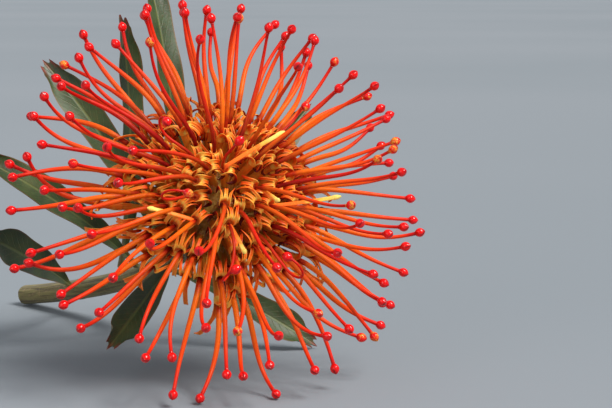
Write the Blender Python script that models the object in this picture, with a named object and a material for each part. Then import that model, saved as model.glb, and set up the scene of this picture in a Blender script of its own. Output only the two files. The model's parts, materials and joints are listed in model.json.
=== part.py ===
"""A pincushion protea flower, cut with a short leafy stem and lying on a flat surface.

Z = 0 is the surface. The head faces -Y and is tilted up, and its lowest style tips rest on the
surface. The stem curves down and back behind it to rest on its cut end.
"""

import math
import random
from collections import namedtuple

import bmesh
import bpy
import numpy as np
from mathutils import Matrix, Vector

SEED = 3
GAP = 0.0003  # clearance between pieces that touch on the real flower
SHARP_ANGLE = math.radians(50)

# The head's frame: its origin is the middle of the receptacle's base, its Z axis is the head's.
HEAD_TILT = math.radians(31)
HEAD_PLACE = (-0.0006, -0.0290, 0.0408)

# Receptacle: the blunt cone that the florets stand on.
RECEPTACLE_RADIUS = 0.0102
RECEPTACLE_HEIGHT = 0.0130
RECEPTACLE_FOOT = 0.0012
RECEPTACLE_SWELL = 2.2  # exponents of its outline
RECEPTACLE_CLOSE = 0.72
RECEPTACLE_APEX = RECEPTACLE_HEIGHT * 0.999  # its outline is measured up to here
SLOPE_STEP = RECEPTACLE_HEIGHT * 0.01
AREA_SAMPLES = 400
RECEPTACLE_SIDES = 14
RECEPTACLE_LEVELS = 7
RECEPTACLE_CROWDING = 0.85  # below 1, its levels stand closer together near the apex
RECEPTACLE_TOP = 0.995  # share of its height where the tip is cut flat
FOOT_TAPER = 0.9

# Tufts: three neighbouring florets that share one woolly pad.
TUFTS = 40
TUFT_FLORETS = 3
GOLDEN_ANGLE = math.pi * (3.0 - math.sqrt(5.0))
PAD_RADIUS = 0.00182
PAD_THICKNESS = 0.0007
PAD_SIDES = 9
PAD_TAPER = 0.92
FIRST_PAD = 0.45  # how far down the first pad stands, in pads
RIM_MARGIN = PAD_RADIUS * 1.15  # the lowest pads stay this far above the rim
FLORET_SPACING = 0.0013  # from the pad's middle to each floret
FLORET_FAN = 1.6  # how much a pad's florets lean apart
FLORET_ROOT = 0.0004  # from the pad's top to a floret's first cross-section
SECTION_SIDES = 5

# Florets: polar angles are measured from the head's axis, inner value first, outer value second.
FLORET_LENGTH = (0.0420, 0.0445)
PERIANTH_LENGTH = (0.0125, 0.0165)
START_POLAR = (math.radians(10), math.radians(72))
CROWN_POLAR = (math.radians(24), math.radians(80))
SPREAD_POLAR = (math.radians(56), math.radians(105))
POLAR_EASE = 0.6  # how quickly the florets lean over from the middle outwards
HOOK = math.radians(34)
SPREAD_SHARE = 0.30  # of the length, over which a style swings out
SPREAD_START = 0.8  # share of the perianth where that swing begins
HOOK_START = 0.62  # share of the length where the hook begins
SIDE_START = 0.45
TUBE_RADIUS = 0.00075
TUBE_SWELL = 1.15
CROWN_RADIUS = 0.0016
CROWN_REACH = (0.0025, 0.0006, 0.0034)  # before, at and beyond the perianth's mouth
STYLE_RADIUS = 0.0008
NECK_RADIUS = 0.0005
PRESENTER_RADIUS = 0.0012
PRESENTER_LENGTH = 0.0024
PRESENTER_WIDEST = 0.45  # share of its length from the tip
PRESENTER_TIP = 0.45  # the tip's share of its radius
STYLE_STOPS = (0.36, 0.70)  # shares of a style where it has its middle cross-sections
PATH_SAMPLES = 46
CLEARANCE = 0.00040  # wanted between any two florets
ATTEMPTS = 200  # at most, to find it
LIFT_PASSES = 3  # rounds of bending a floret up off the surface

# How much florets differ from one another: shares, and standard deviations of angles (degrees).
LENGTH_RANGE = (0.95, 1.04)
PERIANTH_RANGE = (0.94, 1.06)
HOOK_RANGE = (0.2, 1.75)
AIM_JITTER = 5
START_JITTER = 3
CROWN_JITTER = 5
SPREAD_JITTER = 7
SIDE_JITTER = 17
LATE_SPREAD_JITTER = 6
LATE_SIDE_JITTER = 12

# Late florets, whose styles are still short and strongly bent: which one, length, polar angle
# of the spread, hook and sideways swing (degrees).
LATE = {
    0: (0.026, 8, 50, 40),
    4: (0.034, 74, 150, -50),
    9: (0.036, 92, 165, 30),
    13: (0.038, 60, 175, -35),
    22: (0.040, 96, 150, -60),
    31: (0.041, 84, 190, 25),
}

# Stem
STEM_LENGTH = 0.118
STEM_NECK_RADIUS = 0.0044
STEM_RADIUS = 0.0030
STEM_NECK = 0.010  # length over which the stem narrows from the head
STEM_END_SLOPE = math.radians(10.1)
STEM_EASE = 1.5  # how soon the stem levels out behind the head
STEM_SWING = math.radians(-26)  # the heading turns this far towards -X
STEM_SWING_END = 1.1  # the heading stops turning at the inverse of this share of the stem
STEM_SAMPLES = 60
STEM_SIDES = 10
STEM_RINGS = 14
STEM_CROWDING = 1.25  # above 1, the cross-sections stand closer together near the head

# Leaves: share of the stem's length, direction as seen from the front (0 is +X, 90 is up),
# length, half width, lean from the stem at the base and at the tip, and twist (degrees).
LEAVES = {
    "leaf_1": (0.22, 97, 0.074, 0.0042, 50, 92, 34),
    "leaf_2": (0.30, 124, 0.060, 0.0044, 56, 98, -26),
    "leaf_3": (0.38, 44, 0.060, 0.0042, 50, 92, 12),
    "leaf_4": (0.44, 152, 0.059, 0.0046, 56, 92, 18),
    "leaf_5": (0.28, 10, 0.042, 0.0042, 56, 92, -10),
    "leaf_6": (0.76, 166, 0.058, 0.0050, 50, 66, -8),
    "leaf_7": (0.24, 226, 0.038, 0.0042, 54, 78, 0),
    "leaf_8": (0.34, 322, 0.043, 0.0043, 54, 84, 0),
    "leaf_9": (0.56, 106, 0.076, 0.0048, 44, 70, 22),
}
LEAF_THICKNESS = 0.0009
LEAF_CUP = 0.0016
LEAF_THINNING = 0.4  # from the base to the end
LEAF_EDGE = 0.45  # the margin's share of the thickness
LEAF_CUP_START = 3.0  # the cup is full from the inverse of this share of the length on
LEAF_SEAT = 0.75  # from the stem to the leaf's middle, in thicknesses
LEAF_ROWS = 9
LEAF_COLUMNS = 7
TOOTH = 0.0016  # how far the three teeth at the leaf's end stand out
SHOULDER_DROP = TOOTH * 1.6  # how far the end's corners stand back
FLOOR_GAP = 0.0001
# A leaf's outline: its width follows a sine over this part of its length, raised to two powers,
# and it narrows by the shoulder's depth over the last part. The stalk is the narrowest.
LEAF_SINE = (0.03, 0.62)
LEAF_POWERS = (1.05, 1.15)
LEAF_SHOULDER = (0.80, 0.42)
LEAF_STALK = 0.16

# Bracts: a ring of pointed scales that hug the head's underside.
BRACTS = 9
BRACT_LENGTH = 0.0080
BRACT_HALF_WIDTH = 0.0021
BRACT_THICKNESS = 0.0007
BRACT_OUTLINE = (0.62, 1.0, 0.86, 0.22)  # widths from the base to the tip
BRACT_CURL = 0.0004  # how far its margins stand back
BRACT_THINNING = 0.4  # from the base to the tip
BRACT_LEAN = (math.radians(38), math.radians(66))
BRACT_START = (0.0050, -0.0078)  # radius and height in the head's frame

Floret = namedtuple("Floret", "tuft path radii length perianth")


def clear_scene():
    for thing in list(bpy.data.objects):
        bpy.data.objects.remove(thing)


def material(name, colour, roughness):
    """A Principled material of one colour."""
    made = bpy.data.materials.new(name)
    made.use_nodes = True
    shader = made.node_tree.nodes["Principled BSDF"]
    shader.inputs["Base Color"].default_value = (*colour, 1.0)
    shader.inputs["Roughness"].default_value = roughness
    shader.inputs["Metallic"].default_value = 0.0
    made.diffuse_color = (*colour, 1.0)
    return made


def finish(name, bm, skin, parent):
    """Turns a bmesh into a named object with smooth shading."""
    mesh = bpy.data.meshes.new(name)
    bm.to_mesh(mesh)
    bm.free()
    mesh.shade_smooth()
    mesh.set_sharp_from_angle(angle=SHARP_ANGLE)
    mesh.materials.append(skin)
    made = bpy.data.objects.new(name, mesh)
    made.parent = parent
    bpy.context.scene.collection.objects.link(made)
    return made


def smooth(t):
    """0 below 0, 1 above 1, and an even ease between them."""
    t = np.clip(t, 0.0, 1.0)
    return t * t * (3.0 - 2.0 * t)


def mix(pair, share):
    return pair[0] + (pair[1] - pair[0]) * share


def head_matrix():
    turn = Matrix.Rotation(math.pi / 2 - HEAD_TILT, 4, "X")
    return Matrix.Translation(HEAD_PLACE) @ turn


def to_world(points):
    """Head-frame points (n by 3) in world space."""
    matrix = np.array(head_matrix())
    return points @ matrix[:3, :3].T + matrix[:3, 3]


def receptacle_radius(height):
    """The receptacle's radius at a height above its base."""
    share = min(max(height / RECEPTACLE_HEIGHT, 0.0), 1.0)
    return RECEPTACLE_RADIUS * (1.0 - share**RECEPTACLE_SWELL) ** RECEPTACLE_CLOSE


def receptacle_slope(height):
    """The unit outward normal (radial, axial) of the receptacle at a height."""
    low = max(height - SLOPE_STEP, 0.0)
    high = min(height + SLOPE_STEP, RECEPTACLE_APEX)
    across = receptacle_radius(high) - receptacle_radius(low)
    normal = Vector((high - low, -across))
    return normal.normalized()


def receptacle_heights(count):
    """Heights that share the receptacle's surface evenly, from the apex down."""
    heights = [RECEPTACLE_HEIGHT * (1.0 - i / AREA_SAMPLES) for i in range(AREA_SAMPLES + 1)]
    areas = [0.0]
    for high, low in zip(heights, heights[1:]):
        radii = receptacle_radius(high), receptacle_radius(low)
        side = math.hypot(high - low, radii[1] - radii[0])
        areas.append(areas[-1] + (radii[0] + radii[1]) * side)
    usable = np.interp(RIM_MARGIN, heights[::-1], areas[::-1])
    wanted = [(i + FIRST_PAD) / count * usable for i in range(count)]
    return np.interp(wanted, areas, heights)


def pad_frames():
    """Centre, normal and two tangents of each tuft's pad, in the head's frame."""
    frames = []
    for index, height in enumerate(receptacle_heights(TUFTS)):
        azimuth = index * GOLDEN_ANGLE
        radial = Vector((math.cos(azimuth), math.sin(azimuth), 0.0))
        across = Vector((-math.sin(azimuth), math.cos(azimuth), 0.0))
        slope = receptacle_slope(height)
        normal = (radial * slope.x + Vector((0, 0, slope.y))).normalized()
        centre = radial * receptacle_radius(height) + Vector((0, 0, height)) + normal * GAP
        frames.append((centre, normal, across, normal.cross(across)))
    return frames


def floret_radii(arc, length, perianth):
    """The radius along a floret: slim tube, curled crown, tapering style, then the presenter."""
    before, at, beyond = CROWN_REACH
    stations = (
        (0.0, TUBE_RADIUS),
        (perianth - before, TUBE_RADIUS * TUBE_SWELL),
        (perianth + at, CROWN_RADIUS),
        (perianth + beyond, STYLE_RADIUS),
        (length - PRESENTER_LENGTH, NECK_RADIUS),
        (length - PRESENTER_LENGTH * PRESENTER_WIDEST, PRESENTER_RADIUS),
        (length, PRESENTER_RADIUS * PRESENTER_TIP),
    )
    return np.interp(arc, [s for s, _ in stations], [r for _, r in stations])


def floret_stations(length, perianth):
    """Where a floret's cross-sections stand along its length."""
    before, at, beyond = CROWN_REACH
    start = perianth + beyond
    bend = length - PRESENTER_LENGTH
    return np.array(
        [
            FLORET_ROOT,
            perianth - before,
            perianth + at,
            start,
            start + (bend - start) * STYLE_STOPS[0],
            start + (bend - start) * STYLE_STOPS[1],
            bend,
            length - PRESENTER_LENGTH * PRESENTER_WIDEST,
            length,
        ]
    )


def floret_path(base, azimuth, plan):
    """A floret's centre line in world space, bent up where it would pass through the surface."""
    length, perianth, start, crown, spread, hook, side = plan
    arc = np.linspace(0.0, length, PATH_SAMPLES)
    share = arc / length
    polar = start + (crown - start) * smooth(arc / perianth)
    polar += (spread - crown) * smooth((arc - perianth * SPREAD_START) / (SPREAD_SHARE * length))
    polar -= hook * smooth((share - HOOK_START) / (1.0 - HOOK_START))
    turn = azimuth + side * smooth((share - SIDE_START) / (1.0 - SIDE_START))
    heading = np.stack(
        [np.sin(polar) * np.cos(turn), np.sin(polar) * np.sin(turn), np.cos(polar)], axis=1
    )
    steps = (heading[1:] + heading[:-1]) * 0.5 * length / (PATH_SAMPLES - 1)
    path = np.vstack([np.zeros(3), np.cumsum(steps, axis=0)]) + np.array(base)
    world = to_world(path)
    radii = floret_radii(arc, length, perianth)
    for _ in range(LIFT_PASSES):
        sunk = float((world[:, 2] - radii).min())
        if sunk < 0.0:
            world[:, 2] -= sunk * share**2
    return arc, world, radii


def measured(arc, world, length, perianth):
    """The straight-sided floret that its cross-sections make, sampled evenly."""
    stations = floret_stations(length, perianth)
    corners = np.stack([np.interp(stations, arc, world[:, axis]) for axis in range(3)], axis=1)
    even = np.linspace(stations[0], stations[-1], PATH_SAMPLES)
    points = np.stack([np.interp(even, stations, corners[:, axis]) for axis in range(3)], axis=1)
    return points, floret_radii(even, length, perianth)


def closest(points, radii, placed):
    """The smallest gap between a floret and those already placed, which are points and radii."""
    if not placed:
        return 1.0
    others = np.concatenate([each[0] for each in placed])
    other_radii = np.concatenate([each[1] for each in placed])
    squares = (others**2).sum(axis=1)[:, None] + (points**2).sum(axis=1)[None, :]
    apart = np.sqrt(np.maximum(squares - 2.0 * others @ points.T, 0.0))
    return float((apart - other_radii[:, None] - radii[None, :]).min())


def jitter(rng, degrees):
    return rng.gauss(0, math.radians(degrees))


def floret_plan(rng, share, late, ease):
    """How one floret bends: share is 0 for the innermost floret and 1 for the outermost."""
    length = mix(FLORET_LENGTH, share) * rng.uniform(*LENGTH_RANGE)
    perianth = mix(PERIANTH_LENGTH, share) * rng.uniform(*PERIANTH_RANGE)
    lean = share**POLAR_EASE
    start = mix(START_POLAR, lean) + jitter(rng, START_JITTER) * ease
    crown = mix(CROWN_POLAR, lean) + jitter(rng, CROWN_JITTER) * ease
    spread = mix(SPREAD_POLAR, lean) + jitter(rng, SPREAD_JITTER) * ease
    hook = HOOK * rng.uniform(*HOOK_RANGE)
    side = jitter(rng, SIDE_JITTER)
    if late is not None:
        length, spread, hook, side = late
        spread = math.radians(spread) + jitter(rng, LATE_SPREAD_JITTER) * ease
        hook = math.radians(hook)
        side = math.radians(side) + jitter(rng, LATE_SIDE_JITTER) * ease
    return length, perianth, start, crown, spread, hook, side


def floret_base(frame, spin, corner):
    """Where a floret stands on its pad, and the azimuth it leans towards, in the head's frame."""
    centre, normal, across, along = frame
    angle = spin + corner * math.tau / TUFT_FLORETS
    offset = (across * math.cos(angle) + along * math.sin(angle)) * FLORET_SPACING
    aim = math.atan2(centre.y + offset.y * FLORET_FAN, centre.x + offset.x * FLORET_FAN)
    return centre + offset + normal * PAD_THICKNESS, aim


def grow_floret(rng, number, base, aim, placed):
    """The first of many tries that keeps clear of the florets already placed, or the clearest."""
    share = (number + 0.5) / (TUFTS * TUFT_FLORETS)
    late = LATE.get(number)
    best_gap = -1.0
    for attempt in range(ATTEMPTS):
        ease = 1.0 + attempt / ATTEMPTS
        azimuth = aim + jitter(rng, AIM_JITTER) * ease
        plan = floret_plan(rng, share, late, ease)
        arc, world, radii = floret_path(base, azimuth, plan)
        outline = measured(arc, world, plan[0], plan[1])
        gap = closest(*outline, placed)
        if gap > best_gap:
            best_gap = gap
            best = Floret(number // TUFT_FLORETS, world, radii, plan[0], plan[1])
            best_outline = outline
        if gap > CLEARANCE:
            break
    placed.append(best_outline)
    return best


def grow_florets():
    """Every floret, in tufts. The late ones grow first, since their styles need the most room."""
    rng = random.Random(SEED)
    frames = pad_frames()
    spins = [rng.uniform(0, math.tau) for _ in frames]
    placed = []
    florets = {}
    for number in sorted(range(TUFTS * TUFT_FLORETS), key=lambda each: each not in LATE):
        tuft, corner = divmod(number, TUFT_FLORETS)
        base, aim = floret_base(frames[tuft], spins[tuft], corner)
        florets[number] = grow_floret(rng, number, base, aim, placed)
    return [florets[number] for number in sorted(florets)]


def loft(bm, ring, rings):
    """Skins a tube from one ring of vertices through lists of points, and returns the last ring."""
    for points in rings:
        new = [bm.verts.new(point) for point in points]
        for i in range(len(ring)):
            after = (i + 1) % len(ring)
            bm.faces.new((ring[i], ring[after], new[after], new[i]))
        ring = new
    return ring


def cap(bm, ring, start=False):
    bm.faces.new(ring[::-1] if start else ring)


def ring_points(centre, tangent, guide, radius, sides):
    """A regular ring about a tangent, its first point towards the guide direction."""
    first = (guide - tangent * guide.dot(tangent)).normalized()
    second = tangent.cross(first)
    angles = [math.tau * i / sides for i in range(sides)]
    return [centre + (first * math.cos(a) + second * math.sin(a)) * radius for a in angles]


def floret_rings(floret, guide):
    """The cross-sections of one floret, turned as little as possible from one to the next."""
    arc = np.linspace(0.0, floret.length, PATH_SAMPLES)
    tangents = np.gradient(floret.path, axis=0)
    rings = []
    for station in floret_stations(floret.length, floret.perianth):
        centre = Vector(np.interp(station, arc, floret.path[:, axis]) for axis in range(3))
        tangent = Vector(np.interp(station, arc, tangents[:, axis]) for axis in range(3))
        tangent.normalize()
        radius = float(floret_radii(station, floret.length, floret.perianth))
        points = ring_points(centre, tangent, guide, radius, SECTION_SIDES)
        guide = points[0] - centre
        rings.append(points)
    return rings


def build_tuft(index, frame, florets, skin, parent):
    """One pad with its three florets standing on it, as one body."""
    matrix = head_matrix()
    turn = matrix.to_3x3()
    centre = matrix @ frame[0]
    normal, across, along = (turn @ axis for axis in frame[1:])
    bm = bmesh.new()
    first = florets[0].path[0]
    towards = Vector(first) - centre
    start = math.atan2(towards.dot(along), towards.dot(across)) - math.tau / 6
    rim = []
    for i in range(PAD_SIDES):
        angle = start + math.tau * i / PAD_SIDES
        rim.append((across * math.cos(angle) + along * math.sin(angle)) * PAD_RADIUS)
    if across.cross(along).dot(normal) < 0:
        rim.reverse()
    bottom = [bm.verts.new(centre + point) for point in rim]
    cap(bm, bottom, start=True)
    top = loft(bm, bottom, [[centre + point * PAD_TAPER + normal * PAD_THICKNESS for point in rim]])
    middle = bm.verts.new(centre + normal * PAD_THICKNESS)
    reach = PAD_SIDES // TUFT_FLORETS
    waiting = list(florets)
    for sector in range(TUFT_FLORETS):
        ring = [middle] + [top[(sector * reach + i) % PAD_SIDES] for i in range(reach + 1)]
        heart = sum((vertex.co for vertex in ring), Vector()) / len(ring)
        floret = min(waiting, key=lambda each: (Vector(each.path[0]) - heart).length)
        waiting.remove(floret)
        guide = middle.co - heart
        cap(bm, loft(bm, ring, floret_rings(floret, guide)))
    return finish(f"floret_tuft_{index + 1:02d}", bm, skin, parent)


def build_receptacle(skin, parent):
    """The blunt cone in the middle of the head."""
    matrix = head_matrix()
    bm = bmesh.new()
    rings = []
    heights = [-RECEPTACLE_FOOT]
    for i in range(RECEPTACLE_LEVELS):
        heights.append(RECEPTACLE_HEIGHT * (i / RECEPTACLE_LEVELS) ** RECEPTACLE_CROWDING)
    heights.append(RECEPTACLE_HEIGHT * RECEPTACLE_TOP)
    angles = [math.tau * i / RECEPTACLE_SIDES for i in range(RECEPTACLE_SIDES)]
    for height in heights:
        radius = receptacle_radius(height) * (FOOT_TAPER if height < 0 else 1.0)
        ring = [Vector((radius * math.cos(a), radius * math.sin(a), height)) for a in angles]
        rings.append([matrix @ point for point in ring])
    ring = [bm.verts.new(point) for point in rings[0]]
    cap(bm, ring, start=True)
    cap(bm, loft(bm, ring, rings[1:]))
    return finish("receptacle", bm, skin, parent)


def stem_path():
    """Evenly spaced points down the stem's middle, from the head to the cut end."""
    step = STEM_LENGTH / STEM_SAMPLES
    place = head_matrix() @ Vector((0, 0, -RECEPTACLE_FOOT - GAP))
    points = [place.copy()]
    for i in range(STEM_SAMPLES):
        share = (i + 0.5) / STEM_SAMPLES
        slope = STEM_END_SLOPE + (HEAD_TILT - STEM_END_SLOPE) * (1.0 - share) ** STEM_EASE
        swing = STEM_SWING * float(smooth(share * STEM_SWING_END))
        heading = Vector((math.sin(swing), math.cos(swing), 0.0)) * math.cos(slope)
        place = place + (heading - Vector((0, 0, math.sin(slope)))) * step
        points.append(place.copy())
    return points


def stem_radius(distance):
    share = float(smooth(distance / STEM_NECK))
    return STEM_NECK_RADIUS + (STEM_RADIUS - STEM_NECK_RADIUS) * share


def stem_spot(points, share):
    """The stem's middle and its direction towards the head, at a share of its length."""
    place = share * (len(points) - 1)
    i = min(int(place), len(points) - 2)
    centre = points[i].lerp(points[i + 1], place - i)
    return centre, (points[i] - points[i + 1]).normalized()


def build_stem(skin, parent):
    points = stem_path()
    bm = bmesh.new()
    rings = []
    guide = Vector((1, 0, 0))
    for i in range(STEM_RINGS):
        share = (i / (STEM_RINGS - 1)) ** STEM_CROWDING
        centre, forward = stem_spot(points, share)
        radius = stem_radius(share * STEM_LENGTH)
        rings.append(ring_points(centre, -forward, guide, radius, STEM_SIDES))
        guide = rings[-1][0] - centre
    ring = [bm.verts.new(point) for point in rings[0]]
    cap(bm, ring, start=True)
    cap(bm, loft(bm, ring, rings[1:]))
    return finish("stem", bm, skin, parent)


def leaf_half_width(share):
    """The leaf's half width as a share of its widest: a narrow stalk, then a long blade."""
    reach = LEAF_SINE[0] + LEAF_SINE[1] * share
    blade = math.sin(math.pi * reach ** LEAF_POWERS[0]) ** LEAF_POWERS[1]
    start, depth = LEAF_SHOULDER
    shoulder = 1.0 - depth * float(smooth((share - start) / (1.0 - start)))
    return max(blade * shoulder, LEAF_STALK)


def leaf_tooth(column):
    """How far the leaf's end stands out at a column: three teeth between rounded shoulders."""
    across = abs(2.0 * column / (LEAF_COLUMNS - 1) - 1.0)
    tooth = TOOTH if column % 2 == 1 else 0.0
    return tooth - across**2 * SHOULDER_DROP


def leaf_sections(stem, name):
    """Rings of points across a leaf, from its base to its toothed end."""
    share, direction, length, half_width, lean, lean_end, twist = LEAVES[name]
    centre, forward = stem_spot(stem, share)
    right = (Vector((1, 0, 0)) - forward * forward.x).normalized()
    up = forward.cross(right)
    angle = math.radians(direction)
    out = right * math.cos(angle) + up * math.sin(angle)
    side = forward.cross(out)
    place = centre + out * (stem_radius(share * STEM_LENGTH) + GAP + LEAF_THICKNESS * LEAF_SEAT)
    rings = []
    steps = LEAF_ROWS - 1
    for row in range(LEAF_ROWS):
        along = row / steps
        bend = math.radians(lean + (lean_end - lean) * along)
        heading = forward * math.cos(bend) + out * math.sin(bend)
        turn = Matrix.Rotation(math.radians(twist) * along, 3, heading)
        across = turn @ side
        upper = heading.cross(across)
        width = half_width * leaf_half_width(along)
        thick = LEAF_THICKNESS * (1.0 - LEAF_THINNING * along)
        faces = ([], [])
        for column in range(LEAF_COLUMNS):
            u = 2.0 * column / (LEAF_COLUMNS - 1) - 1.0
            cup = LEAF_CUP * u * u * min(1.0, along * LEAF_CUP_START)
            point = place + across * (u * width) + upper * cup
            if row == steps:
                point = point + heading * leaf_tooth(column)
            edge = thick * 0.5 * (1.0 - (1.0 - LEAF_EDGE) * abs(u))
            faces[0].append(point + upper * edge)
            faces[1].append(point - upper * edge)
        rings.append(faces[0] + faces[1][::-1])
        place = place + heading * (length / steps)
    return [[rest_on_floor(point, ring) for point in ring] for ring in rings]


def rest_on_floor(point, ring):
    """Moves a point up with its whole cross-section where that would pass through the surface."""
    lowest = min(each.z for each in ring)
    return point + Vector((0, 0, max(0.0, FLOOR_GAP - lowest)))


def build_leaf(name, stem, skin, parent):
    bm = bmesh.new()
    rings = leaf_sections(stem, name)
    ring = [bm.verts.new(point) for point in rings[0]]
    close_flat(bm, ring, start=True)
    close_flat(bm, loft(bm, ring, rings[1:]))
    bmesh.ops.recalc_face_normals(bm, faces=bm.faces)
    return finish(name, bm, skin, parent)


def close_flat(bm, ring, start=False):
    """Closes a flat ring, whose second half runs back under the first, with a row of faces."""
    half = len(ring) // 2
    for i in range(half - 1):
        face = (ring[i], ring[i + 1], ring[-2 - i], ring[-1 - i])
        bm.faces.new(face[::-1] if start else face)


def build_bract(index, skin, parent):
    """One pointed scale on the underside of the head."""
    matrix = head_matrix()
    azimuth = math.tau * (index + 0.5) / BRACTS
    radial = Vector((math.cos(azimuth), math.sin(azimuth), 0.0))
    side = Vector((-math.sin(azimuth), math.cos(azimuth), 0.0))
    place = radial * BRACT_START[0] + Vector((0, 0, BRACT_START[1]))
    rings = []
    steps = len(BRACT_OUTLINE) - 1
    for row, outline in enumerate(BRACT_OUTLINE):
        along = row / steps
        lean = mix(BRACT_LEAN, along)
        heading = Vector((0, 0, 1)) * math.cos(lean) + radial * math.sin(lean)
        outer = side.cross(heading)
        width = BRACT_HALF_WIDTH * outline
        thick = BRACT_THICKNESS * (1.0 - BRACT_THINNING * along) * 0.5
        line = [place + side * (u * width) - outer * (BRACT_CURL * u * u) for u in (-1, 0, 1)]
        upper = [point + outer * thick for point in line]
        lower = [point - outer * thick for point in reversed(line)]
        rings.append([matrix @ point for point in upper + lower])
        place = place + heading * (BRACT_LENGTH / steps)
    bm = bmesh.new()
    ring = [bm.verts.new(point) for point in rings[0]]
    close_flat(bm, ring, start=True)
    close_flat(bm, loft(bm, ring, rings[1:]))
    bmesh.ops.recalc_face_normals(bm, faces=bm.faces)
    return finish(f"involucral_bract_{index + 1}", bm, skin, parent)


def main():
    clear_scene()
    flower = bpy.data.objects.new("flower", None)
    bpy.context.scene.collection.objects.link(flower)
    floret_skin = material("floret", (0.72, 0.16, 0.03), 0.45)
    receptacle_skin = material("receptacle", (0.22, 0.20, 0.07), 0.8)
    stem_skin = material("stem", (0.17, 0.15, 0.05), 0.7)
    leaf_skin = material("leaf", (0.09, 0.14, 0.05), 0.5)
    bract_skin = material("bract", (0.30, 0.20, 0.08), 0.75)
    florets = grow_florets()
    for index, frame in enumerate(pad_frames()):
        own = [floret for floret in florets if floret.tuft == index]
        build_tuft(index, frame, own, floret_skin, flower)
    build_receptacle(receptacle_skin, flower)
    build_stem(stem_skin, flower)
    stem = stem_path()
    for name in LEAVES:
        build_leaf(name, stem, leaf_skin, flower)
    for index in range(BRACTS):
        build_bract(index, bract_skin, flower)


main()
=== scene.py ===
"""The looks of the pincushion protea flower that part.py lays out.

Lengths are metres, in the model's own frame: z = 0 is the surface that the flower lies on. The
florets' centre lines are grown here again by the same rules and the same random draws as in the
CAD model, so that each detailed floret stands exactly where its plain solid does.
"""

import json
import math
import random
from collections import namedtuple

import bmesh
import bpy
import numpy as np
from mathutils import Matrix, Vector

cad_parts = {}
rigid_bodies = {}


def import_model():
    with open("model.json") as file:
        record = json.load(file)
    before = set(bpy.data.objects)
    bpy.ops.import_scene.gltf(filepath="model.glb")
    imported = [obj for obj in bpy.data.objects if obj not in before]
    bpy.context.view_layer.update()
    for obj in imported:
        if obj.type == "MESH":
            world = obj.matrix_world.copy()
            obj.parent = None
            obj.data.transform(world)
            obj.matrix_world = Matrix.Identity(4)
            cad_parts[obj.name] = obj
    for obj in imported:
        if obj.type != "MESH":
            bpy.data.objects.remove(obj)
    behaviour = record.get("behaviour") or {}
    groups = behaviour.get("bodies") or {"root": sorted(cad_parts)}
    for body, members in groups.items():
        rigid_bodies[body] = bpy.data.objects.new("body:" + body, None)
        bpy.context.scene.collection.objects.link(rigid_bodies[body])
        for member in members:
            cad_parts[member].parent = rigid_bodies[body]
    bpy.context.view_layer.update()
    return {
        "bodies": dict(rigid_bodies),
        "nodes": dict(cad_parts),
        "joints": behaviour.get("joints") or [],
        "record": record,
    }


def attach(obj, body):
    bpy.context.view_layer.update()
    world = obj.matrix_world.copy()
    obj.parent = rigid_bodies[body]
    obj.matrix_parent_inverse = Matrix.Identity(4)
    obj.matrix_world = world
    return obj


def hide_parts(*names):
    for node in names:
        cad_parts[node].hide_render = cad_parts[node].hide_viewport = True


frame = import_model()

# ---------------- the layout, as in the CAD model

SEED = 3
GAP = 0.0003

HEAD_TILT = math.radians(31)
HEAD_PLACE = (-0.0006, -0.0290, 0.0408)

RECEPTACLE_RADIUS = 0.0102
RECEPTACLE_HEIGHT = 0.0130
RECEPTACLE_FOOT = 0.0012
RECEPTACLE_SWELL = 2.2
RECEPTACLE_CLOSE = 0.72
RECEPTACLE_APEX = RECEPTACLE_HEIGHT * 0.999
SLOPE_STEP = RECEPTACLE_HEIGHT * 0.01
AREA_SAMPLES = 400

TUFTS = 40
TUFT_FLORETS = 3
GOLDEN_ANGLE = math.pi * (3.0 - math.sqrt(5.0))
PAD_RADIUS = 0.00182
PAD_THICKNESS = 0.0007
FIRST_PAD = 0.45
RIM_MARGIN = PAD_RADIUS * 1.15
FLORET_SPACING = 0.0013
FLORET_FAN = 1.6
FLORET_ROOT = 0.0004

FLORET_LENGTH = (0.0420, 0.0445)
PERIANTH_LENGTH = (0.0125, 0.0165)
START_POLAR = (math.radians(10), math.radians(72))
CROWN_POLAR = (math.radians(24), math.radians(80))
SPREAD_POLAR = (math.radians(56), math.radians(105))
POLAR_EASE = 0.6
HOOK = math.radians(34)
SPREAD_SHARE = 0.30
SPREAD_START = 0.8
HOOK_START = 0.62
SIDE_START = 0.45
TUBE_RADIUS = 0.00075
TUBE_SWELL = 1.15
CROWN_RADIUS = 0.0016
CROWN_REACH = (0.0025, 0.0006, 0.0034)
STYLE_RADIUS = 0.0008
NECK_RADIUS = 0.0005
PRESENTER_RADIUS = 0.0012
PRESENTER_LENGTH = 0.0024
PRESENTER_WIDEST = 0.45
PRESENTER_TIP = 0.45
STYLE_STOPS = (0.36, 0.70)
PATH_SAMPLES = 46
CLEARANCE = 0.00040
ATTEMPTS = 200
LIFT_PASSES = 3

# How much florets differ from one another: shares, and standard deviations of angles (degrees).
LENGTH_RANGE = (0.95, 1.04)
PERIANTH_RANGE = (0.94, 1.06)
HOOK_RANGE = (0.2, 1.75)
AIM_JITTER = 5
START_JITTER = 3
CROWN_JITTER = 5
SPREAD_JITTER = 7
SIDE_JITTER = 17
LATE_SPREAD_JITTER = 6
LATE_SIDE_JITTER = 12

LATE = {
    0: (0.026, 8, 50, 40),
    4: (0.034, 74, 150, -50),
    9: (0.036, 92, 165, 30),
    13: (0.038, 60, 175, -35),
    22: (0.040, 96, 150, -60),
    31: (0.041, 84, 190, 25),
}

STEM_LENGTH = 0.118
STEM_NECK_RADIUS = 0.0044
STEM_RADIUS = 0.0030
STEM_NECK = 0.010
STEM_END_SLOPE = math.radians(10.1)
STEM_EASE = 1.5
STEM_SWING = math.radians(-26)
STEM_SWING_END = 1.1
STEM_SAMPLES = 60

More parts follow.
